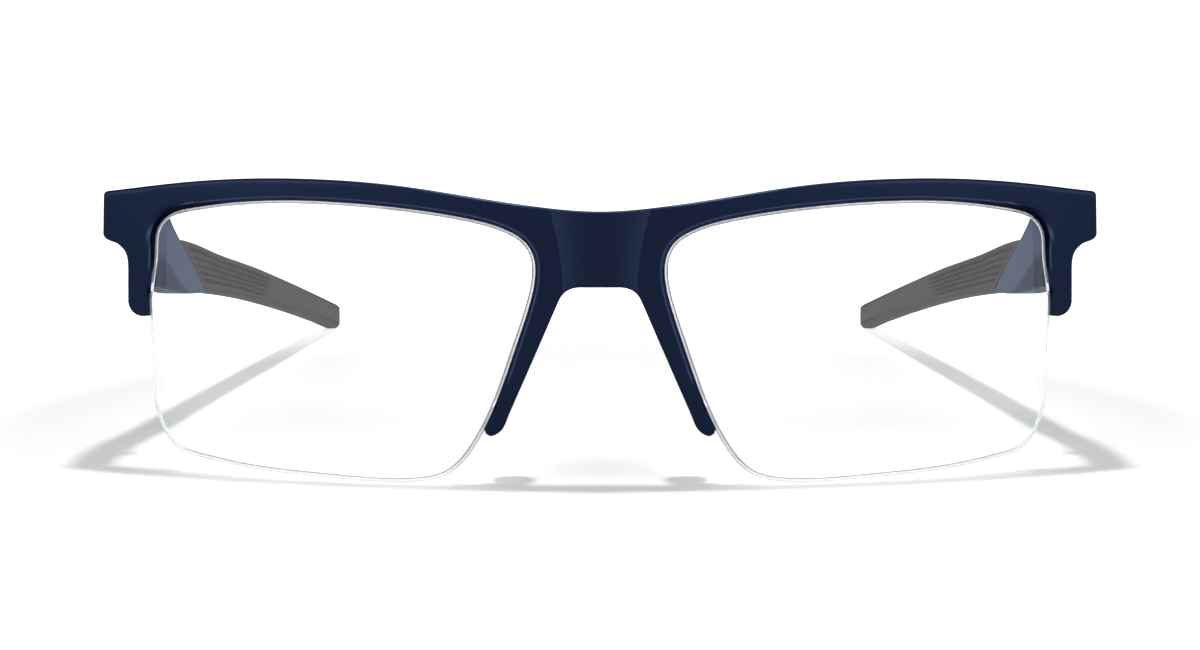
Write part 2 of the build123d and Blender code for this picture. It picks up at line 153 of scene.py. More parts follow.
def add_lamp(name, place, aim, size, power, shape="DISK"):
    """An area lamp of the given size in metres at place, turned to face aim."""
    lamp = bpy.data.lights.new(name, "AREA")
    lamp.shape = shape
    lamp.size = size
    lamp.energy = power
    made = new_object(name, lamp)
    made.location = place
    towards = np.array(aim) - np.array(place)
    flat = np.hypot(towards[0], towards[1])
    turn = np.arctan2(-towards[0], towards[1]) if flat else 0.0
    made.rotation_euler = (np.arctan2(flat, -towards[2]), 0.0, turn)


add_lamp("overhead_lamp", (0.0, -0.004, 0.536), (0.0, -0.004, 0.0), 0.045, 1.6)
for turned_to in (-1, 1):
    box_place = (turned_to * 0.78, -0.85, 0.75)
    add_lamp(f"softbox_{turned_to}", box_place, (0.0, -0.03, 0.02), 0.9, 7.4, "SQUARE")
world = bpy.data.worlds.new("studio")
world.use_nodes = True
tree = world.node_tree
tree.nodes.clear()
sky = add_node(tree, "ShaderNodeBackground", sockets={
    "Color": (1.0, 1.0, 1.0, 1.0), "Strength": in_range(tree, sees_backdrop(tree), 0.22, 1.0)})
add_node(tree, "ShaderNodeOutputWorld", sockets={"Surface": sky.outputs[0]})
bpy.context.scene.world = world
bpy.context.scene.view_settings.view_transform = "Standard"

# ---- Lenses ----
# Two clear organic lenses, cast and polished on a sphere, 2 mm thick. Their edges are ground flat with a
# small bevel, and a groove is cut round the edge for the frame's liner above and the nylon cord below.
MM = 0.001
lens_width, lens_height, nose_gap = 54.3, 38.55, 17.36
lens_radius, lens_thickness, sphere_shift = 132.5, 2.0, 8.0
groove_depth, groove_width, edge_bevel = 0.6, 0.9, 0.14
lean = np.radians(4.5)
nose_edge = nose_gap / 2
outer_edge = nose_edge + lens_width
mid_height = 0.52 * lens_height
hinge_height = lens_height - 2.55
hinge_x = outer_edge + 1.9

# The hinge pin's place fixes the leaning plane of the front
pin = next(j for j in frame["joints"] if j["name"] == "temple_left_fold")
pin_place = np.array(pin["pos_m"]) / MM
half_width, back_radius = outer_edge + 6.95, lens_radius - lens_thickness - 0.8
hinge_depth = 6.3 + lens_radius - np.sqrt(
    back_radius**2 - (half_width - sphere_shift) ** 2 - (hinge_height - mid_height) ** 2)
front_y = pin_place[1] - hinge_height * np.sin(lean) - hinge_depth * np.cos(lean)
foot_z = pin_place[2] - hinge_height * np.cos(lean) + hinge_depth * np.sin(lean)


def depth_at(x, s, radius):
    """n of the sphere of that radius over x, s: the root of radius squared less both distances squared."""
    return np.sqrt(radius**2 - (np.abs(x) - sphere_shift) ** 2 - (s - mid_height) ** 2) - lens_radius


def on_front(x, s, n):
    """Points of the leaning plane in the glasses' frame: s and n turned by the lean, moved to its foot."""
    x, s, n = np.broadcast_arrays(x, s, n)
    return np.stack([x, front_y + s * np.sin(lean) - n * np.cos(lean),
                     foot_z + s * np.cos(lean) + n * np.sin(lean)], axis=-1)


def ramp(value, start, run):
    """0 up to the start, 1 from start plus run on, and straight between."""
    return np.clip((value - start) / run, 0, 1)


def on_sphere(flat, radius):
    """Points of the glasses' frame over a grid of x, s, on the sphere of that radius."""
    x, s = flat[..., 0], flat[..., 1]
    return on_front(x, s, depth_at(x, s, radius))


def lengths(line):
    """Distance along a line of points, from its first to each."""
    return np.concatenate([[0.0], np.cumsum(np.hypot(*np.diff(line, axis=0).T))])


def along(line, distance):
    """The points of a line at the given distances along it."""
    run = lengths(line)
    return np.stack([np.interp(distance, run, line[:, k]) for k in (0, 1)], axis=-1)


def at_shares(line, shares):
    """The points of a line at shares of its whole length."""
    return along(line, shares * lengths(line)[-1])


def curve_through(points, count, closed=False, start=None, finish=None):
    """A cubic through the points, even in curvature across each. Chords set its parameter, the tangents
    solve one linear system, and start and finish fix the end directions. Its count points lie evenly."""
    knots = np.array(points, float)
    if closed:
        knots = np.vstack([knots, knots[:1]])
    chord = np.hypot(*np.diff(knots, axis=0).T)[:, None]
    slope = np.diff(knots, axis=0) / chord
    size = len(knots)
    system, goal = np.zeros((size, size)), np.zeros((size, 2))
    inner = np.arange(1, size - 1)
    system[inner, inner - 1], system[inner, inner + 1] = chord[1:, 0], chord[:-1, 0]
    system[inner, inner] = 2 * (chord[:-1, 0] + chord[1:, 0])
    goal[inner] = 3 * (chord[1:] * slope[:-1] + chord[:-1] * slope[1:])
    if closed:
        first, last = chord[0, 0], chord[-1, 0]
        system[0, 0], system[0, -1] = 1, -1
        system[-1, -2], system[-1, -1], system[-1, 1] = first, 2 * (last + first), last
        goal[-1] = 3 * (chord[0] * slope[-1] + chord[-1] * slope[0])
    else:
        system[0, 0], system[0, 1], goal[0] = 2, 1, 3 * slope[0]
        system[-1, -1], system[-1, -2], goal[-1] = 2, 1, 3 * slope[-1]
        if start is not None:
            system[0, 1], system[0, 0], goal[0] = 0, 1, np.array(start) / np.hypot(*start)
        if finish is not None:
            system[-1, -2], system[-1, -1], goal[-1] = 0, 1, np.array(finish) / np.hypot(*finish)
    tangent = np.linalg.solve(system, goal)
    t = np.linspace(0, 1, 60, endpoint=False)[None, :, None]
    here, there = knots[:-1, None], knots[1:, None]
    leave, arrive = (tangent[:-1] * chord)[:, None], (tangent[1:] * chord)[:, None]
    fine = (here * (2 * t**3 - 3 * t**2 + 1) + leave * (t**3 - 2 * t**2 + t)
            + there * (3 * t**2 - 2 * t**3) + arrive * (t**3 - t**2))
    fine = np.vstack([fine.reshape(-1, 2), knots[-1:]])
    return at_shares(fine, np.linspace(0, 1, count, endpoint=not closed))


def grid_faces(rows, columns, closed_rows=False, closed_columns=False, first=0):
    """Four-sided faces between neighbouring rows and columns of a grid of points, numbered from first."""
    r = np.arange(rows if closed_rows else rows - 1)[:, None]
    c = np.arange(columns if closed_columns else columns - 1)[None, :]
    below, beside = (r + 1) % rows, (c + 1) % columns
    return first + np.stack([r * columns + c, r * columns + beside, below * columns + beside,
                             below * columns + c], axis=-1).reshape(-1, 4)


def add_piece(name, points, faces, finish, body, slot, nodes, sharp=35.0, face_finish=None, tone=None):
    """A closed mesh in metres from points in millimetres. Points that meet are joined, faces turned
    outwards, and edges over the sharp angle kept crisp. The last argument is painted light and shade, a
    number for each point, which the material may read. The piece rides on the body and stands for the CAD
    nodes."""
    made = bpy.data.meshes.new(name)
    made.from_pydata((np.asarray(points).reshape(-1, 3) * MM).tolist(), [], faces.tolist())
    for material in finish:
        made.materials.append(material)
    if face_finish is not None:
        made.polygons.foreach_set("material_index", np.asarray(face_finish, np.int32))
    # Painted light and shade for each point, stored for the material to read
    if tone is not None:
        tones = np.asarray(tone, np.float32).ravel()
        made.attributes.new("tone", "FLOAT", "POINT").data.foreach_set("value", tones)
    work = bmesh.new()
    work.from_mesh(made)
    bmesh.ops.remove_doubles(work, verts=work.verts, dist=2e-6)
    bmesh.ops.dissolve_degenerate(work, edges=work.edges, dist=5e-7)
    bmesh.ops.recalc_face_normals(work, faces=work.faces)
    work.to_mesh(made)
    work.free()
    made.shade_smooth()
    made.set_sharp_from_angle(angle=np.radians(sharp))
    piece = new_object(name, made)
    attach(piece, body)
    if nodes:
        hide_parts(*nodes)
    return piece


def add_pair(name, points, faces, finish, body, slot, node, **more):
    """The piece on the wearer's left and its mirror image on the right. {} in body and node is the side."""
    for side, turn in (("left", 1), ("right", -1)):
        mirrored = np.asarray(points).reshape(-1, 3) * (turn, 1, 1)
        nodes = [node.format(side)] if node else []
        add_piece(f"{name}_{side}", mirrored, faces, finish, body.format(side), slot, nodes, **more)


# Share of the lens width from the nose side, share of its height from the bottom, up the nose side and over
lens_shape = [
    (0.227, 0.029), (0.183, 0.079), (0.153, 0.137), (0.118, 0.227), (0.086, 0.334), (0.051, 0.476),
    (0.018, 0.617), (0.001, 0.721), (0.003, 0.799), (0.024, 0.855), (0.069, 0.898), (0.175, 0.942),
    (0.357, 0.980), (0.541, 1.000), (0.729, 0.999), (0.890, 0.972), (0.952, 0.943), (0.979, 0.898),
    (0.987, 0.804), (0.998, 0.674), (0.999, 0.571), (0.992, 0.382), (0.986, 0.241), (0.965, 0.163),
    (0.930, 0.102), (0.868, 0.071), (0.734, 0.037), (0.538, 0.012), (0.393, 0.000), (0.291, 0.005),
]
lens_knots = [(nose_edge + a * lens_width, b * lens_height) for a, b in lens_shape]
lens_line = curve_through(lens_knots, 720, closed=True)
turned = np.roll(lens_line, -1, axis=0) - np.roll(lens_line, 1, axis=0)
lens_out = np.stack([-turned[:, 1], turned[:, 0]], axis=-1) / np.hypot(*turned.T)[:, None]


def lens_surface():
    """Rings round the lens, each the outline moved out by an offset or drawn in by a share to the centre, on
    a sphere of its own radius: the front from its centre out, round the grooved edge, back to the centre."""
    outline, out = lens_line[::2], lens_out[::2]
    back = lens_radius - lens_thickness
    centre = np.array([nose_edge + 0.53 * lens_width, 0.52 * lens_height])
    shares = np.sin(np.linspace(0, np.pi / 2, 18))[:-1]
    half_groove, middle = groove_width / 2, lens_radius - lens_thickness / 2
    hollow = np.linspace(0, np.pi, 9)
    edge = [(-edge_bevel, lens_radius), (0.0, lens_radius - edge_bevel), (0.0, middle + half_groove)]
    edge += [(-groove_depth * np.sin(a) ** 0.6, middle + half_groove * np.cos(a)) for a in hollow[1:-1]]
    edge += [(0.0, middle - half_groove), (0.0, back + edge_bevel), (-edge_bevel, back)]
    rim = outline - edge_bevel * out
    rings = [(centre + share * (rim - centre), lens_radius) for share in shares]
    rings += [(outline + offset * out, radius) for offset, radius in edge]
    rings += [(centre + share * (rim - centre), back) for share in shares[::-1]]
    flat = np.stack([ring for ring, _ in rings])
    radii = np.array([radius for _, radius in rings])[:, None]
    points = on_sphere(flat, radii)
    faces = grid_faces(len(rings), len(outline), closed_columns=True)
    row = np.arange(len(rings) - 1).repeat(len(outline))
    ground = (row >= len(shares)) & (row < len(shares) + len(edge) - 1)
    return points, faces, ground


def see_through(tree, shader, colour):
    """Ends a material with the shader, and lets rays from lamps pass straight through, tinted."""
    lamp_ray = add_node(tree, "ShaderNodeLightPath").outputs["Is Shadow Ray"]
    open_way = add_node(tree, "ShaderNodeBsdfTransparent", sockets={"Color": linear(colour)})
    output(tree, add_node(tree, "ShaderNodeMixShader", sockets={
        0: lamp_ray, 1: shader.outputs[0], 2: open_way.outputs[0]}))


def bump(tree, height, strength, distance):
    """The surface's direction, tilted by a height."""
    return add_node(tree, "ShaderNodeBump", sockets={
        "Height": height, "Strength": strength, "Distance": distance}).outputs[0]


# Cast organic glass, polished: clear with the slightest cool tint, and a mirror-smooth skin. Lamps shine
# straight through it, so that it leaves no dark shadow.
polished_lens, tree = new_material("organic_glass_polished")
see_through(tree, principled(tree, {
    "Base Color": linear("#fcfdfe"),
    "Roughness": in_range(tree, noise(tree, 60.0, 2.0), 0.0, 0.015, 0.4, 0.7), "IOR": 1.5,
    "Specular IOR Level": 0.36, "Transmission Weight": 1.0}), "#fafbfc")

# The same glass where the edge is ground on a diamond wheel: greyish, with a fine grain of 0.12 mm
ground_lens, tree = new_material("organic_glass_ground_edge")
grit = noise(tree, 1 / 0.12e-3, 2.0)
see_through(tree, principled(tree, {
    "Base Color": linear("#f2f5f6"), "Roughness": in_range(tree, grit, 0.08, 0.16), "IOR": 1.5,
    "Transmission Weight": 0.85, "Normal": bump(tree, grit, 0.06, 0.02e-3)}), "#d8dcde")
points, faces, ground = lens_surface()
add_pair("lens_cast", points, faces, [polished_lens, ground_lens], "front", "clear_lens", "lens_{}",
         face_finish=ground)

# ---- Nylon cords and liners ----
# A clear nylon cord, 0.54 mm thick, lies in the groove round the lower half of each lens, its ends drawn up
# into the front. A softer clear liner sits between the front and the groove round the upper half.
cord_radius, cord_sink = 0.27, 0.2
liner_half, liner_sink = 0.37, 0.5
cord_end_outer, cord_end_inner = 26.0, 10.8


def nearest(line, spot):
    """Number of the point of a line nearest to a spot."""
    return int(np.argmin(np.hypot(*(line - np.asarray(spot)).T)))


def strand(first, last, section):
    """A section carried along the lens outline from one of its points to another, onwards round the lens.
    Each point of the section is an offset out from the outline and a height over the groove's middle sphere.
    The ends are drawn in to a point."""
    wanted = np.arange(first, last if last > first else last + len(lens_line)) % len(lens_line)
    line, out = lens_line[wanted], lens_out[wanted]
    middle = section.mean(axis=0)
    swell = np.ones(len(line))
    swell[[0, -1]] = 0.0
    swell[[1, -2]] = 0.8
    shape = middle + swell[:, None, None] * (section - middle)
    flat = line[:, None] + shape[..., :1] * out[:, None]
    radius = lens_radius - lens_thickness / 2 + shape[..., 1]
    return on_sphere(flat, radius), grid_faces(len(line), len(section), closed_columns=True)


# Drawn nylon, as fishing line: clear with a milky core and a smooth, slightly wavy skin
nylon, tree = new_material("nylon_monofilament_drawn")
cloud = noise(tree, 1 / 0.8e-3, 2.0)
see_through(tree, principled(tree, {
    "Base Color": linear("#eceff0"), "Roughness": in_range(tree, cloud, 0.1, 0.14), "IOR": 1.53,
    "Transmission Weight": 0.75, "Normal": bump(tree, cloud, 0.02, 0.03e-3)}), "#b0b4b6")
turn = np.linspace(0, 2 * np.pi, 16, endpoint=False)
round_section = np.stack([-cord_sink + cord_radius * np.cos(turn), cord_radius * np.sin(turn)], axis=-1)
liner_section = np.array([(0.04, -liner_half), (0.04, 0.0), (0.04, liner_half), (-0.3, liner_half),
                          (-liner_sink + 0.12, liner_half - 0.04), (-liner_sink, liner_half - 0.2),
                          (-liner_sink, 0.2 - liner_half), (-liner_sink + 0.12, 0.04 - liner_half),
                          (-0.3, -liner_half)])
lens_mid = nose_edge + 0.5 * lens_width
nose_end = nearest(lens_line, (nose_edge + 0.10 * lens_width, cord_end_inner))
outer_end = nearest(lens_line, (outer_edge, cord_end_outer))
points, faces = strand(outer_end, nose_end, round_section)
add_pair("nylon_cord", points, faces, [nylon], "front", "nylon_cord", "lens_cord_{}")
points, faces = strand(nose_end + 3, outer_end - 3, liner_section)
add_pair("groove_liner", points, faces, [nylon], "front", "nylon_cord", None)

# ---- Front ----
# The brow bar, both nose legs and both end pieces are one moulding of navy nylon. Its face follows the lens
# curve, the bridge is a flat-sided barrel facet between two creases, and all edges are softly rounded.
face_radius = lens_radius + 1.0
bridge_top, bridge_low = lens_height - 1.45, lens_height - 11.65
bridge_radius, bridge_lean, bridge_proud = 25.0, np.radians(2.7), 1.04
end_low = hinge_height - 3.5
edge_round, back_round, ridge_width, rim_lap = 0.34, 0.3, 0.45, 0.12
stub_x, stub_low = outer_edge + 3.1, end_low - 10.2
stub_bevel_end, leg_bevel_end, corner_extra = 28.5, 13.6, 0.3
# The last number here is the strength of the painted highlight on the bridge facet's flanks
notch_half, notch_depth, notch_reach, flank_tone = 0.45, 0.3, 0.42, 0.16
corner_x, corner_run_x, corner_run_s = 50, 11, 7
lug_x, lug_s, bevel_soft, plain_drop, bevel_drop = 63.5, 31.5, 0.15, 0.35, 0.7
# Where the painted shade along the brow's outermost edge starts and fades in, and the span of the painted
# highlight on the top edge near the bridge
painted_shade_x, painted_shade_run, painted_highlight_from, painted_highlight_to = 28, 12, 8.5, 26
leg_tip = (nose_edge + 6.2, 0.172 * lens_height)
leg_end = (nose_edge + 3.62, 0.252 * lens_height)
leg_top = (nose_edge - 2.73, bridge_low - 2.7)
leg_slope = (-6.35, 14.53)
tip_side = (nose_edge + 6.95, 0.2 * lens_height)
brow_shape = [(-0.022, -0.93), (0.144, 0.36), (0.356, 2.09), (0.540, 2.88), (0.697, 3.03), (0.888, 2.56)]
end_top = (half_width - 0.7, lens_height + 1.2)


def bridge_depth(x, s):
    """n of the bridge facet: a barrel of its own radius, whose upright axis leans back at the top."""
    axis_n = bridge_proud - bridge_radius
    rise = s - (bridge_low + bridge_top) / 2
    return axis_n + (np.sqrt(bridge_radius**2 - x**2) - rise * np.sin(bridge_lean)) / np.cos(bridge_lean)


def crease_at(s):
    """x where the bridge facet and the face meet at height s, by halving the interval forty times."""
    low, high = np.full_like(s, 2.0), np.full_like(s, 8.6)
    for _ in range(40):
        middle = (low + high) / 2
        proud = bridge_depth(middle, s) > depth_at(middle, s, face_radius)
        low, high = np.where(proud, middle, low), np.where(proud, high, middle)
    return (low + high) / 2


def distance_to(points, line):
    """Distance from each point to the nearest place on a line of short straight pieces."""
    start, step = line[:-1], np.diff(line, axis=0)
    square = np.maximum((step**2).sum(-1), 1e-12)
    found = []
    for part in np.array_split(points.reshape(-1, 2), 8):
        offset = part[:, None] - start
        share = np.clip((offset * step).sum(-1) / square, 0, 1)
        found.append(np.sqrt((((offset - share[..., None] * step) ** 2).sum(-1)).min(axis=1)))
    return np.concatenate(found).reshape(points.shape[:-1])


def rounding(distance, radius):
    """Drop of a rounded edge at a distance from it: a quarter of a circle, nothing beyond its radius."""
    left = np.clip(radius - distance, 0, radius)
    return radius - np.sqrt(radius**2 - left**2)


# Outline of the left half, from the foot of the nose leg to the bridge, and from the brow to the stub's foot
leg_line = np.vstack([
    curve_through([tip_side, (nose_edge + 6.85, leg_tip[1] + 0.4), leg_tip], 14),
    curve_through([leg_tip, (nose_edge + 4.75, leg_tip[1] + 0.77), leg_end], 24,
                  start=(-1, 0.1), finish=leg_slope)[1:],
    np.linspace(leg_end, leg_top, 40)[1:],
    curve_through([leg_top, (nose_edge - 3.82, bridge_low - 0.79), (2.7, bridge_low)], 40,
                  start=leg_slope, finish=(-1, 0))[1:],
    np.linspace((2.7, bridge_low), (0, bridge_low), 8)[1:],
])
brow_line = curve_through([(0, bridge_top)] + [(nose_edge + a * lens_width, lens_height + rise)
                                               for a, rise in brow_shape] + [end_top], 280,
                          start=(1, 0), finish=(1, -0.11))
corner_low = (half_width, end_low + 1.4)
shoulder = (stub_x + 1.7, end_low - 0.1)
end_line = np.vstack([
    curve_through([end_top, (half_width - 0.18, end_top[1] - 0.22), (half_width, end_top[1] - 0.75)], 12,
                  start=(1, -0.11), finish=(0, -1)),
    np.linspace((half_width, end_top[1] - 0.75), corner_low, 12)[1:],
    curve_through([corner_low, (half_width - 0.25, end_low + 0.7), (half_width - 0.9, end_low + 0.3)], 12,
                  start=(0, -1))[1:],
    np.linspace((half_width - 0.9, end_low + 0.3), shoulder, 5)[1:],
    curve_through([shoulder, (stub_x + 0.55, end_low - 1.1), (stub_x, end_low - 3.5)], 24,
                  finish=(0, -1))[1:],
    np.linspace((stub_x, end_low - 3.5), (stub_x, stub_low + 2.2), 12)[1:],
    curve_through([(stub_x, stub_low + 2.2), (stub_x - 0.64, stub_low + 0.64), (stub_x - 2.2, stub_low)],
                  16, start=(0, -1), finish=(-1, 0))[1:],
])
inner_start = nearest(lens_line, (nose_edge + 0.133 * lens_width, tip_side[1]))
inner_end = nearest(lens_line, (outer_edge, stub_low))
rim_line = (lens_line - rim_lap * lens_out)[inner_start:inner_end + 1]


def split_at_crease(line):
    """The line up to where it crosses the crease between bridge facet and face, and the rest of it."""
    proud = bridge_depth(line[:, 0], line[:, 1]) - depth_at(line[:, 0], line[:, 1], face_radius)
    k = int(np.argmax(np.sign(proud[1:]) != np.sign(proud[:-1])))
    share = proud[k] / (proud[k] - proud[k + 1])
    meet = line[k] + share * (line[k + 1] - line[k])
    return np.vstack([line[:k + 1], meet]), np.vstack([meet, line[k + 1:]])


leg_part, bridge_low_line = split_at_crease(leg_line)
bridge_top_line, brow_part = split_at_crease(brow_line)
brow_part = np.vstack([brow_part, end_line[1:]])
edge_steps = np.array([0.0, 0.04, 0.1, 0.18, 0.27, 0.38, 0.55, 0.8])
rise = brow_part[0, 1] - leg_part[-1, 1]
crease_rise = np.concatenate([edge_steps, np.linspace(1.1, rise - 1.1, 30), rise - edge_steps[::-1]])
crease_s = leg_part[-1, 1] + crease_rise
crease = np.stack([crease_at(crease_s), crease_s], axis=-1)
crease[0], crease[-1] = leg_part[-1], brow_part[0]


def matched(pairs, inner, outer, spacing):
    """Rows between two lines. Each pair names places that face each other; between them both lines are
    shared out evenly, about spacing apart on the longer."""
    inner_at = np.array([lengths(inner)[nearest(inner, pair[0])] for pair in pairs])
    outer_at = np.array([lengths(outer)[nearest(outer, pair[1])] for pair in pairs])
    steps = np.ceil(np.maximum(np.diff(inner_at), np.diff(outer_at)) / spacing)
    at = np.concatenate([[0], np.cumsum(np.maximum(steps, 2))])
    rows = np.arange(at[-1] + 1)
    return along(inner, np.interp(rows, at, inner_at)), along(outer, np.interp(rows, at, outer_at))


leg_pairs = [(rim_line[0], leg_part[0]), ((15.45, 8.0), leg_tip), ((15.0, 9.0), (13.43, 7.4)),
             ((14.2, 11.0), leg_end), ((9.1, 25.6), leg_top), ((8.85, 27.6), leg_part[-1])]
brow_pairs = [((10.6, 33.7), brow_part[0]), ((12.6, 34.8), (12.0, 38.4)), ((17.0, 36.0), (16.5, 38.9)),
              ((28.07, 37.78), (27.7, 40.6)), ((38.06, 38.55), (38.0, 41.43)), ((48.3, 38.5), (48.4, 41.55)),
              ((54.5, 37.9), (55.6, 41.2)), ((58.2, 37.2), (62.5, 40.6)), ((60.4, 36.35), (69.58, 39.55)),
              ((61.3, 35.5), (69.93, 36.0)), ((61.8, 34.6), (69.9, 33.6)), ((62.0, 33.5), (69.03, 32.8)),
              ((62.1, 32.7), (67.78, 32.4)), ((62.25, 31.3), (66.63, 31.4)), ((62.6, 28.8), (66.08, 29.0)),
              ((62.9, 24.5), (66.08, 24.5)), ((62.93, 22.8), (65.44, 22.94)), (rim_line[-1], brow_part[-1])]
leg_inner, leg_outer = matched(leg_pairs, rim_line, leg_part, 0.28)
brow_inner, brow_outer = matched(brow_pairs, rim_line, brow_part, 0.28)
run = lengths(rim_line)
crease_share = (crease_s - crease_s[0]) / (crease_s[-1] - crease_s[0])
ends = [run[nearest(rim_line, leg_inner[-1])], run[nearest(rim_line, brow_inner[0])]]
crease_inner = along(rim_line, ends[0] + crease_share * (ends[1] - ends[0]))
inner_rows = np.vstack([leg_inner[:-1], crease_inner, brow_inner[1:]])
outer_rows = np.vstack([leg_outer[:-1], crease, brow_outer[1:]])

# Columns across the band: close together at both edges, even between them
near_rim = np.array([0.0, 0.1, 0.2, 0.3, 0.38, 0.45, 0.52, 0.62, 0.8])
across = outer_rows - inner_rows
width = np.hypot(*across.T)[:, None]
squeeze = np.minimum(1, width / 2.0)
middle_share = np.linspace(0, 1, 9)[None, 1:-1]
room = width - (near_rim[-1] + edge_steps[-1]) * squeeze
distance = np.hstack([near_rim * squeeze, near_rim[-1] * squeeze + middle_share * room,
                      width - edge_steps[::-1] * squeeze])
band = inner_rows[:, None] + distance[..., None] * (across / width)[:, None]

# The bridge between the creases: rows keep the creases' heights, and bend to the edges above and below
bridge_share = np.sin(np.linspace(-np.pi / 2, np.pi / 2, 41))
low_half = at_shares(bridge_low_line[::-1], np.abs(bridge_share))
top_half = at_shares(bridge_top_line, np.abs(bridge_share))
flip = np.stack([np.sign(bridge_share), np.ones(41)], axis=-1)
low_row, top_row = low_half * flip, top_half * flip
chord = crease[0] + crease_share[:, None] * (crease[-1] - crease[0])
bend = np.abs(bridge_share)[None, :, None] * (crease - chord)[:, None] * flip
bridge = (1 - crease_share)[:, None, None] * low_row + crease_share[:, None, None] * top_row + bend
bridge[:, 0], bridge[:, -1] = crease * (-1, 1), crease

outer_edges = [np.vstack([rim_line[:1], leg_line, (leg_line * (-1, 1))[::-1][:40]]),
               np.vstack([(brow_line * (-1, 1))[40:0:-1], brow_line, end_line[1:], rim_line[-1:]])]


def skin(flat, face):
    """Front and back depths over a grid of x, s, and painted light and shade for each point. The front is
    the face less its rounded outer edge and less its bevel down to the lens, and the back is the inner
    sphere less its rounded edge. The bevel is widest round the upper outer corner, and a small notch lies
    over each end of the cord. Painted shade goes down to -1, on the bevel, in the notches and on the brow's
    outermost edge, and a painted highlight up to 1, along the ridge, along a line just inside the brow's
    outer edge and on the top edge by the bridge."""
    x, s = np.abs(flat[..., 0]), flat[..., 1]
    from_outer = np.minimum(distance_to(flat, outer_edges[0][::2]), distance_to(flat, outer_edges[1][::2]))
    from_rim = distance_to(flat, rim_line[::2])
    corner = ramp(x, corner_x, corner_run_x) * ramp(s, stub_bevel_end, corner_run_s)
    wide = ridge_width + corner_extra * corner**2 * (3 - 2 * corner)
    slope = (wide - from_rim) / wide
    bevelled = ramp(s, np.where(x > lens_mid, stub_bevel_end, leg_bevel_end), 0.8)
    from_cord_end = s - np.where(x > lens_mid, cord_end_outer - 0.2, cord_end_inner - 0.3)
    notch = ramp(notch_reach - from_rim, 0, 0.08) * np.exp(-((from_cord_end / notch_half) ** 4))
    drop = np.maximum(rounding(from_outer, edge_round),
                      (slope + np.sqrt(slope**2 + bevel_soft**2)) / 2 * (plain_drop + bevel_drop * bevelled))
    lug = ramp(x, lug_x, 1.0) * ramp(s, lug_s, 0.8)
    lift = rounding(np.minimum(from_outer, from_rim), back_round) * (1 - lug)
    # Painted shade on the bevel down to the lens, and a painted highlight along the ridge above it
    bevel = ramp(wide - 0.04 - from_rim, 0, 0.06) * bevelled
    ridge = np.exp(-(((from_rim - wide - 0.05) / 0.08) ** 2)) * bevelled
    # Painted shade along the brow's outermost edge over its outer third, a painted highlight line just
    # inside it, and a painted highlight on the top edge near the bridge
    outer_third = ramp(x, painted_shade_x, painted_shade_run) * (s > lens_height)
    by_bridge = ramp(x, painted_highlight_from, 3) * ramp(painted_highlight_to - x, 0, 8) * (s > bridge_top - 1)
    highlight_line = 0.35 * np.exp(-(((from_outer - 0.42) / 0.12) ** 2))
    edge = outer_third * (highlight_line - np.exp(-((from_outer / 0.14) ** 2)))
    edge = edge + by_bridge * np.exp(-((from_outer / 0.16) ** 2))
    front_n = face(x, s) - drop - notch_depth * notch
    back_n = depth_at(np.sqrt(x**2 + 1.0), s, back_radius) + lift
    # The notches are cut in and also painted with shade
    return (front_n, back_n), (np.clip(ridge - bevel - notch + edge, -1, 1), -bevel)


def sheet_pair(flat, face):
    """A front and a back grid over x, s, as one list of points and one of their painted light and shade."""
    depths, tones = skin(flat, face)
    points = np.vstack([on_front(flat[..., 0], flat[..., 1], n).reshape(-1, 3) for n in depths])
    return points, np.concatenate([tone.ravel() for tone in tones])


def walls(edge, shift):
    """Faces between the front and back grids along a line of front point numbers."""
    return np.stack([edge[:-1], edge[1:], edge[1:] + shift, edge[:-1] + shift], axis=-1)


def patch_faces(rows, columns, open_edges, first):
    """Front and back faces of a patch, and walls along its edges except for the open ones."""
    number = first + np.arange(rows * columns).reshape(rows, columns)
    shift = rows * columns
    edges = {"start": number[0], "finish": number[-1], "rim": number[:, 0], "outside": number[:, -1]}
    flat = grid_faces(rows, columns, first=first)
    sides = [walls(line, shift) for name, line in edges.items() if name not in open_edges]
    return np.vstack([flat, flat + shift, *sides])


rows, columns = band.shape[:2]
band_points, band_tone = sheet_pair(band, lambda x, s: depth_at(x, s, face_radius))
crease_rows = slice(len(leg_inner) - 1, len(leg_inner) - 1 + len(crease))
number = np.arange(rows * columns).reshape(rows, columns)[:, -1]
outside = np.vstack([walls(number[:crease_rows.start + 1], rows * columns),
                     walls(number[crease_rows.stop - 1:], rows * columns)])
band_faces = np.vstack([patch_faces(rows, columns, ("outside",), 0), outside])
bridge_points, bridge_tone = sheet_pair(bridge, bridge_depth)
# Painted highlight: the barrel's flanks are painted paler than its middle, as if they caught more light
bridge_tone[:bridge[..., 0].size] += flank_tone * ((bridge[..., 0] / crease[:, :1]) ** 2).ravel()
bridge_faces = patch_faces(*bridge.shape[:2], ("rim", "outside"), 2 * len(band_points))
front_points = np.vstack([band_points, band_points * (-1, 1, 1), bridge_points])
front_faces = np.vstack([band_faces, band_faces + len(band_points), bridge_faces])
front_tone = np.concatenate([band_tone, band_tone, bridge_tone])


def mix(tree, share, first, second):
    """The colour a share of the way from the first to the second, each a hex code or an output."""
    first, second = (linear(end) if isinstance(end, str) else end for end in (first, second))
    return add_node(tree, "ShaderNodeMix", {"data_type": "RGBA"}, {
        "Factor": share, 6: first, 7: second}).outputs[2]


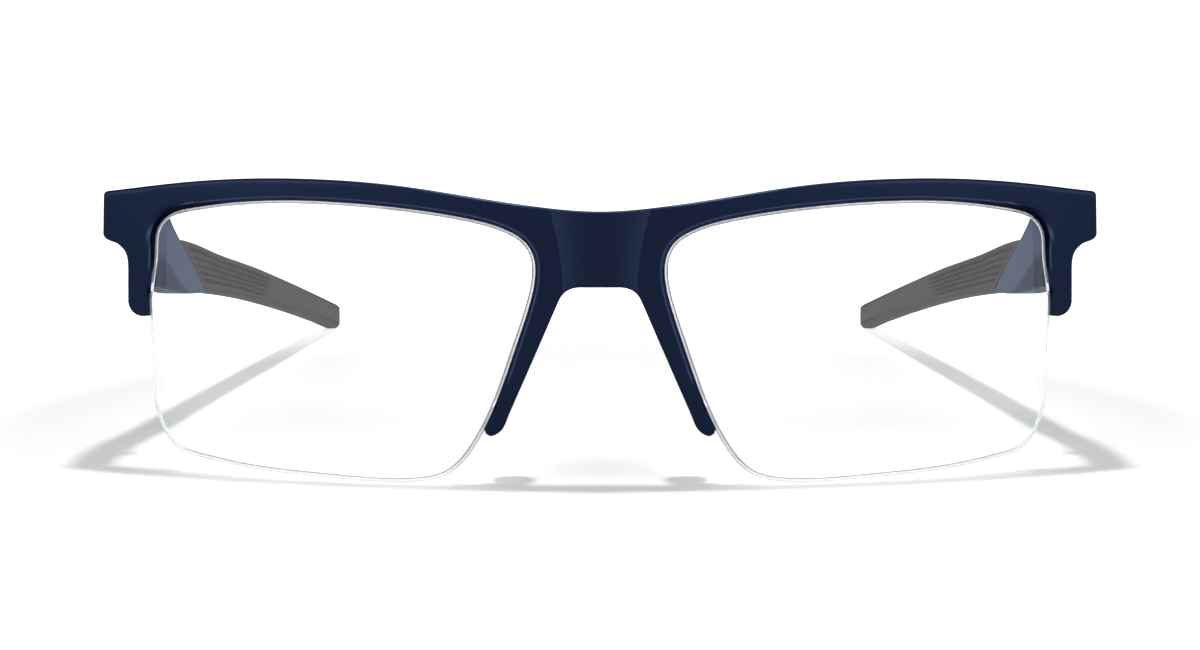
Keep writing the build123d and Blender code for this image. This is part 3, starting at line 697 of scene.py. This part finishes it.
def moulded_nylon(name, deep_colour, pale_colour, sheen_colour):
    """Nylon with a fine metallic pigment, moulded in a spark-eroded tool: a satin skin with a grain of
    0.25 mm, between a deep and a pale colour, and a coloured sheen. Painted shade darkens it where the value
    that each point carries is -1, along the bevel by the lens, and a painted highlight makes it pale where
    that value is 1, on the ridge above."""
    made, tree = new_material(name)
    grain = noise(tree, 1 / 0.25e-3, 4.0)
    satin = in_range(tree, noise(tree, 1 / 12e-3, 2.0), 0.36, 0.46)
    tone = add_node(tree, "ShaderNodeAttribute", {"attribute_name": "tone"}).outputs["Fac"]
    shade = mix(tree, grain, deep_colour, pale_colour)
    # Painted shade mixes towards near-black where the value is below 0, and a painted highlight towards pale
    # blue-grey where it is above 0
    shade = mix(tree, in_range(tree, tone, 0.0, 1.0, 0.0, -1.0), shade, "#02050e")
    shade = mix(tree, in_range(tree, tone, 0.0, 1.0), shade, "#3c4762")
    output(tree, principled(tree, {
        "Base Color": shade, "Roughness": satin, "Metallic": 0.55, "Specular IOR Level": 0.08,
        "Specular Tint": linear(sheen_colour), "Normal": bump(tree, grain, 0.25, 0.02e-3)}))
    return made


# The front's nylon is navy, with a bluer sheen, and carries the painted shade and highlights worked out
# above
navy = moulded_nylon("navy_nylon_moulded_satin", "#111829", "#151e33", "#8bbcff")
add_piece("front_moulding", front_points, front_faces, [navy], "front", "navy_shell", ["front_frame"],
          sharp=30.0, tone=front_tone)

# ---- End pieces and pad fins ----
# Behind each outer corner the moulding runs back as a solid block to the hinge, with a pocket on its inner
# side for the hinge leaf. Behind each nose leg a thin rounded fin stands back to carry the pad.
leaf_face, pocket_face, pocket_half, pocket_length, barrel_room = 0.4, 1.42, 3.02, 6.92, 1.6
block_start, joint_gap, block_round, seam = -9.7, 0.1, 0.3, 0.02


def at_hinge(u, v, w):
    """Points of the hinge's frame in the glasses' frame: v and w turned by the lean, moved to the pin."""
    u, v, w = np.broadcast_arrays(u, v, w)
    return np.stack([pin_place[0] + u, pin_place[1] + v * np.cos(lean) + w * np.sin(lean),
                     pin_place[2] - v * np.sin(lean) + w * np.cos(lean)], axis=-1)


def closed_ends(rings):
    """Points and faces of a tube of rings, with both its ends closed to their middles."""
    ends = [np.broadcast_to(ring.mean(axis=0), ring.shape) for ring in (rings[0], rings[-1])]
    points = np.concatenate([ends[0][None], rings, ends[1][None]])
    return points, grid_faces(len(points), points.shape[1], closed_columns=True)


def pocketed(u, v, w):
    """An inner face cut back by the leaf's pocket and by the round room for the barrel."""
    in_pocket = (np.abs(w) < pocket_half) & (np.abs(v) < pocket_length)
    by_barrel = np.abs(v) < barrel_room
    barrel = np.sqrt(np.maximum(barrel_room**2 - v**2, 0))
    cut = np.where(in_pocket, np.maximum(u, pocket_face), u)
    return np.where(by_barrel, np.maximum(cut, barrel), cut)


def end_block():
    """The lug's outline carried back to the hinge. Its inner side is straight but for the pocket, and the
    last rows draw in round the joint's edge."""
    outline = np.vstack([brow_line[nearest(brow_line, (65.6, 40.2)):], end_line[1:]])
    outer = outline[outline[:, 1] > end_low + seam] - (hinge_x, hinge_height)
    top_w, low_w = outer[0, 1], end_low - hinge_height + seam
    inner_w = np.concatenate([np.linspace(low_w, -pocket_half - seam, 3), np.linspace(-3.0, 3.0, 7),
                              np.linspace(pocket_half + seam, top_w, 3)])
    v = -np.array([-block_start, 7.5, pocket_length + seam, pocket_length - seam, 4.0, 2.0, 1.62, 1.5, 1.3,
                   1.1, 0.9, 0.7, 0.5, 0.4, 0.3, 0.22, 0.16, 0.12, joint_gap])[:, None]
    inner_u = pocketed(leaf_face, v, inner_w[None])
    u = np.hstack([np.broadcast_to(outer[:, 0], (len(v), len(outer))), inner_u])
    w = np.broadcast_to(np.concatenate([outer[:, 1], inner_w]), u.shape)
    draw = 0.01 + rounding(-joint_gap - v, block_round)
    centre_u, centre_w = (leaf_face + outer[:, 0].max()) / 2, (top_w + low_w) / 2
    half_u, half_w = (outer[:, 0].max() - leaf_face) / 2, (top_w - low_w) / 2
    u = np.maximum(centre_u + (u - centre_u) * (1 - draw / half_u), pocketed(leaf_face, v, w))
    w = centre_w + (w - centre_w) * (1 - draw / half_w)
    return closed_ends(at_hinge(u, v, w))


points, faces = end_block()
add_pair("end_block", points, faces, [navy], "front", "navy_shell", "front_frame", sharp=30.0)

fin_centre = np.array([nose_edge + 2.85, 0.376 * lens_height])
fin_run = np.array([6.35, -14.53]) / np.hypot(6.35, 14.53)
fin_side = np.array([-fin_run[1], fin_run[0]])
fin_back = depth_at(*fin_centre, back_radius)


def swollen(half_run, half_deep, half_side, middle_deep, power):
    """A closed rounded block behind the nose leg: a sphere's angles, with each coordinate's sine or cosine
    raised to the share 2 / power, so that it swells towards a box. Deep is measured back from the front's
    inner face."""
    polar = np.linspace(0, np.pi, 33)[:, None]
    round_angle = np.linspace(0, 2 * np.pi, 64, endpoint=False)[None]

    def eased(value):
        return np.sign(value) * np.abs(value) ** (2 / power)

    side = half_side * eased(np.cos(polar)) + 0 * round_angle
    run_along = half_run * eased(np.sin(polar)) * eased(np.cos(round_angle))
    deep = middle_deep + half_deep * eased(np.sin(polar)) * eased(np.sin(round_angle))
    flat = fin_centre + run_along[..., None] * fin_run + side[..., None] * fin_side
    return on_front(flat[..., 0], flat[..., 1], fin_back - deep), grid_faces(33, 64, closed_columns=True)


points, faces = swollen(4.5, 2.1, 0.45, 1.5, 4.0)
add_pair("pad_fin", points, faces, [navy], "front", "navy_shell", None, sharp=60.0)

# ---- Nose pads ----
# Soft moulded silicone pads, slipped over the fins. They are long rounded cushions with a satin skin, dark
# like the front, and grip the sides of the nose.
silicone, tree = new_material("silicone_moulded_satin")
bloom = noise(tree, 1 / 0.3e-3, 3.0)
output(tree, principled(tree, {
    "Base Color": mix(tree, bloom, "#20242e", "#2a2f3b"), "Roughness": in_range(tree, bloom, 0.5, 0.62),
    "IOR": 1.41, "Specular IOR Level": 0.35, "Subsurface Weight": 0.08, "Subsurface Scale": 0.001,
    "Normal": bump(tree, bloom, 0.2, 0.02e-3)}))
points, faces = swollen(6.25, 2.8, 1.2, 3.15, 2.7)
add_pair("nose_cushion", points, faces, [silicone], "front", "soft_pad", "nose_pad_{}", sharp=60.0)

# ---- Temple arms ----
# Each temple starts as a short deep arm of the same kind of nylon. It is scooped on its lower inner side,
# thins towards the hinge, and ends in a slanted face where the rubber grip begins.
temple_length, temple_thickness = 129.0, 4.5
inset, outset = np.radians(7.0), np.radians(7.5)
corner_steps = 7
grip_start, grip_slant, grip_height = 17.3, 15.2, 8.8
grip_top = (grip_start, -3.85)
grip_low = (grip_start + grip_slant, grip_top[1] - grip_height)
boundary_line = curve_through([grip_top, (grip_start + 0.53 * grip_slant, grip_top[1] - 0.49 * grip_height),
                               grip_low], 60)


def temple_faces(v):
    """u of the temple's inner and outer faces at v: both turn in as they go back, the outer rather more."""
    return leaf_face - np.tan(inset) * v, leaf_face + temple_thickness - np.tan(outset) * v


def loop_shares(inner_shares, outer_shares, corner):
    """One way round a temple's section from its top: down the inner face, across the bottom, up the outer
    face, back. Returns shares down and across, and what the rounded corners add to each, in millimetres:
    a quarter of a circle at each corner, its sine one way and its cosine the other."""
    quarter = np.linspace(0, np.pi / 2, corner_steps)
    rising, falling = corner * (1 - np.cos(quarter)), corner * (1 - np.sin(quarter))
    nothing, one = 0 * quarter, 1 + 0 * quarter
    down = [nothing, inner_shares, one, one, outer_shares[::-1], nothing]
    down_mm = [rising, 0 * inner_shares, -falling, -rising, 0 * outer_shares, falling]
    over = [nothing, 0 * inner_shares, nothing, one, 1 + 0 * outer_shares, one]
    over_mm = [falling, 0 * inner_shares, rising, -falling, 0 * outer_shares, -rising]
    return [np.concatenate(part) for part in (down, down_mm, over, over_mm)]


relief_top, relief_depth, relief_drop = -3.5, 2.4, 0.9


def outer_limit(w):
    """How far out the outer side may reach at w: below the end piece it steps in, over a short slope."""
    below = relief_top - w
    full = leaf_face + temple_thickness
    stepped = np.maximum(full - below * relief_depth / relief_drop, full - relief_depth)
    return np.where(below > -relief_drop, stepped, 99.0)


def temple_loft(top, low, section, bulge, trim, inner_cut):
    """Rings across a temple, and their places v, w. Row by row the section hangs between a top and a low
    point in v, w, pushed back by bulge, with both faces from temple_faces. trim draws a row in on all sides,
    and inner_cut(u, v, w) may move the inner face."""
    down, down_mm, over, over_mm = section
    fall = low - top
    height = np.hypot(*fall.T)[:, None]
    share = down + (down_mm + trim[:, None] * np.sign(0.5 - down)) / height
    v = top[:, :1] + share * fall[:, :1] + bulge(share)
    w = top[:, 1:] + share * fall[:, 1:]
    inner, outer = temple_faces(v)
    inner = inner_cut(inner, v, w)
    outer = np.minimum(outer, outer_limit(w))
    push = over_mm + trim[:, None] * np.sign(0.5 - over)
    u = inner + over * (outer - inner) + push
    return *closed_ends(at_hinge(u, v, w)), (v, w)


arm_top = curve_through([(joint_gap, 3.7), (5, 3.65), (7.6, 3.3), (10, 1.6), (12.3, -0.4), (15, -2.35),
                         grip_top], 200)
arm_low = np.vstack([
    np.linspace((joint_gap, -3.5), (3.3, -7.9), 30),
    curve_through([(3.3, -7.9), (4.5, -9.35), (7, -10.6)], 30)[1:],
    curve_through([(7, -10.6), (12.35, -11.0), (17.9, -11.9), grip_low], 160)[1:],
])
pocket_v = np.concatenate([joint_gap + edge_steps[:-2] * 0.7, np.linspace(0.5, 1.7, 9),
                           np.linspace(2.3, 6.4, 8), [pocket_length - seam]])
fan = np.concatenate([np.linspace(0, 1, 60)[:-1], 1 - np.array([0.011, 0.007, 0.004, 0.002, 0.0])])
fan = np.sort(fan)


def arm_rows(line):
    """The places of an arm's rows on its top or low line: at pocket_v by the hinge, then fanned out."""
    by_hinge = np.stack([pocket_v, np.interp(pocket_v, *line.T)], axis=-1)
    begin = np.interp(pocket_length + seam, line[:, 0], lengths(line))
    return np.vstack([by_hinge, along(line, begin + fan * (lengths(line)[-1] - begin))])


top, low = arm_rows(arm_top), arm_rows(arm_low)
arm_corner, scoop_slope, hinge_end_round, grip_end_round, fan_run = 0.3, 0.36, 0.25, 0.35, 12
facet_line = np.array([(-5.0, -5.6), (4.5, -5.9), (7.5, -6.0), (12.1, -7.6), (17.4, -10.4), (22.0, -12.2),
                       (40.0, -20.0)])
pocket_w = np.array([3.04, 3.0, 2.4, 1.8, 1.2, 0.6, 0.0, -0.6, -1.2, -1.8, -2.4, -3.0, -3.04])
first_rows = np.minimum(np.arange(len(top)), len(pocket_v) - 1)
row_top, row_low = top[first_rows, 1:], low[first_rows, 1:]
tail_share = np.linspace(0, 1, 26)[None, 1:-1]
inner_w = np.hstack([np.broadcast_to(pocket_w, (len(top), len(pocket_w))),
                     pocket_w[-1] + tail_share * (row_low + arm_corner - pocket_w[-1])])
inner_shares = (row_top - inner_w) / (row_top - row_low)
section = loop_shares(inner_shares[0], np.linspace(0.06, 0.94, 56), arm_corner)
# The columns down the inner face keep their own w in every row, so that the pocket's edges are straight
section[0] = np.repeat(section[0][None], len(top), axis=0)
section[0][:, corner_steps:corner_steps + inner_shares.shape[1]] = inner_shares


def scooped(u, v, w):
    """The arm's inner face: below a falling line it slopes away, and its front end has the hinge pocket."""
    below = np.interp(v, *facet_line.T) - w
    fade = ramp(v, 1.5, 3.0)
    return pocketed(u + scoop_slope * np.maximum(below, 0) * fade, v, w)


bulged = at_shares(boundary_line, np.linspace(0, 1, 60))
straight = grip_top[0] + (bulged[:, 1] - grip_top[1]) / (grip_low[1] - grip_top[1]) * grip_slant
grip_bow = ((grip_top[1] - bulged[:, 1]) / grip_height, bulged[:, 0] - straight)
arm_bow = np.concatenate([np.zeros(len(pocket_v)), fan**4])[:, None]
trim = np.concatenate([rounding(pocket_v - joint_gap, hinge_end_round),
                       rounding((1 - fan) * fan_run, grip_end_round)])


def arm_bulge(share):
    """How far the arm's rows are pushed back: the grip's bow, more and more towards the grip."""
    return arm_bow * np.interp(share, *grip_bow)


points, faces, _ = temple_loft(top, low, section, arm_bulge, trim, scooped)

# The arms take a copy of the front's nylon, painted a little paler and greyer with a less blue sheen, to
# stand for how the light falls on them
slate = moulded_nylon("slate_nylon_moulded_satin", "#17202f", "#1b2638", "#8fb6e2")
add_pair("temple_shank", points, faces, [slate], "temple_{}", "navy_shell", "temple_arm_{}", sharp=28.0)

# ---- Temple grips ----
# The rest of each temple is charcoal thermoplastic rubber, moulded over a tongue of the arm. Its inner side
# has lengthwise grooves over the front half, which fade out where it turns smooth towards the tip.
tip_height, tip_rise, tip_round, grip_gap = 4.3, 0.3, 1.5, 0.1


def table_w(v):
    """w of the table under the point v of a temple."""
    return (v * np.sin(lean) - pin_place[2]) / np.cos(lean)


tip_top = (temple_length - tip_round, table_w(temple_length) + tip_height + tip_rise)
tip_low = (temple_length - tip_round, table_w(temple_length - tip_round))


def edge_line(start, finish, shape):
    """A long edge of the grip: a curve through shares of its run and of its fall."""
    run_v, fall_w = finish[0] - start[0], finish[1] - start[1]
    shares = [(0, 0), *shape, (1, 1)]
    return curve_through([(start[0] + a * run_v, start[1] + b * fall_w) for a, b in shares], 400)


top_edge = edge_line((grip_top[0] + grip_gap, grip_top[1]), tip_top,
                     [(0.034, 0.018), (0.19, 0.170), (0.40, 0.363), (0.563, 0.526), (0.726, 0.698)])
low_edge = edge_line((grip_low[0] + grip_gap, grip_low[1]), tip_low,
                     [(0.189, 0.124), (0.426, 0.330), (0.596, 0.509), (0.794, 0.734)])
going = np.concatenate([[0.0, 0.001, 0.002, 0.003, 0.005, 0.008], np.linspace(0.012, 1.0, 230)])
top = at_shares(top_edge, going)
low = at_shares(low_edge, going)
closing = np.sin(np.linspace(0, np.pi / 2, 9)[1:])
top = np.vstack([top, np.repeat(top[-1:], len(closing), axis=0)])
low = np.vstack([low, np.repeat(low[-1:], len(closing), axis=0)])
grip_corner, tip_bulge, start_round, end_round = 1.15, 6.0, 0.4, 1.2
section = loop_shares(np.linspace(0.13, 0.87, 64), np.linspace(0.13, 0.87, 24), grip_corner)
bow = np.concatenate([(1 - going) ** 4, 0 * closing])[:, None]
reach = np.concatenate([0 * going, closing])[:, None]
trim = np.concatenate([rounding(going * 110, start_round),
                       end_round * (1 - np.sqrt(1 - closing**2 * 0.98))])
groove_at = np.array([0.17, 0.31, 0.45, 0.59, 0.73])
groove_drift, groove_half, groove_cut = 0.0020, 0.034, 0.5
groove_start, groove_end = 1.2, 78


def groove_share(v, w):
    """How deep the grip's five rounded grooves are at v, w, from 0 to 1. Each keeps its share of the height
    and drifts down a little as it goes back. They start just behind the arm and fade over a slanted line."""
    upper, lower = np.interp(v, *top_edge.T), np.interp(v, *low_edge.T)
    share = (upper - w) / np.maximum(upper - lower, 1)
    behind = v - np.interp(-w, -boundary_line[:, 1], boundary_line[:, 0])
    fade = ramp(behind, groove_start, 1.5) * ramp(groove_end - 8 * share - v, 0, 5)
    share = share - groove_drift * (v - 30)
    return fade * sum(np.exp(-((share - at) / groove_half) ** 2) for at in groove_at)


def grooved(u, v, w):
    """The grip's inner face with its grooves."""
    return u + groove_cut * groove_share(v, w)


def grip_bulge(share):
    """How far the grip's rows are pushed back: the bow at its start, and the rounded end of the tip."""
    return bow * np.interp(share, *grip_bow) + reach * tip_bulge * np.clip(share * (1 - share), 0, 1)


points, faces, spots = temple_loft(top, low, section, grip_bulge, trim, grooved)

# Thermoplastic rubber, charcoal through and through, with a dry matte skin of fine 0.2 mm grain. Painted
# shade darkens it in the grooves and at its front end by the arm
rubber, tree = new_material("charcoal_rubber_moulded_matte")
powder = noise(tree, 1 / 0.2e-3, 3.0)
tone = add_node(tree, "ShaderNodeAttribute", {"attribute_name": "tone"}).outputs["Fac"]
# Darker towards a painted shade colour where the value is 1
shade = mix(tree, tone, mix(tree, noise(tree, 1 / 9e-3, 2.0), "#2b2b29", "#343431"), "#1c1c1b")
output(tree, principled(tree, {
    "Base Color": shade, "Roughness": in_range(tree, powder, 0.66, 0.8), "Specular IOR Level": 0.1,
    "Normal": bump(tree, powder, 0.3, 0.03e-3)}))
# Painted shade: the grooves on the inner side, and the first rows of the grip by the arm
on_inner_side = section[2] < 0.5
start_tone = np.concatenate([np.clip(1 - going * 200, 0, 1), 0 * closing])[:, None]
tone = np.maximum(np.where(on_inner_side, groove_share(*spots), 0.0), start_tone)
add_pair("temple_sleeve", points, faces, [rubber], "temple_{}", "grip_rubber", "temple_grip_{}", sharp=40.0,
         tone=np.pad(tone, ((1, 1), (0, 0))))

# ---- Hinges and screws ----
# Each hinge is two nickel silver leaves with turned knuckles, three in all, on one steel pivot screw. Two
# small countersunk steel screws hold each leaf in its pocket.

# Nickel silver, milled and tumbled: a warm grey metal with fine upright milling lines 0.1 mm apart
nickel, tree = new_material("nickel_silver_milled")
upright = add_node(tree, "ShaderNodeMapping", sockets={
    "Vector": object_place(tree), "Scale": (1.0, 1.0, 0.08)}).outputs[0]
milling = noise(tree, 1 / 0.1e-3, 3.0, upright)
output(tree, principled(tree, {
    "Base Color": linear("#b9b5ab"), "Metallic": 1.0, "Roughness": in_range(tree, milling, 0.22, 0.4),
    "Normal": bump(tree, milling, 0.2, 0.01e-3)}))

# Bright steel, turned on a lathe: nearly a mirror, with faint tool marks
steel, tree = new_material("steel_turned_bright")
output(tree, principled(tree, {
    "Base Color": linear("#c9cacd"), "Metallic": 1.0,
    "Roughness": in_range(tree, noise(tree, 1 / 0.15e-3, 2.0), 0.1, 0.24)}))
for side in ("left", "right"):
    for kind, finish in (("hinge_front", nickel), ("hinge_temple", nickel), ("hinge_screw", steel),
                         ("front_leaf_screws", steel), ("temple_leaf_screws", steel)):
        for holder in frame["nodes"][f"{kind}_{side}"].material_slots:
            holder.material = finish
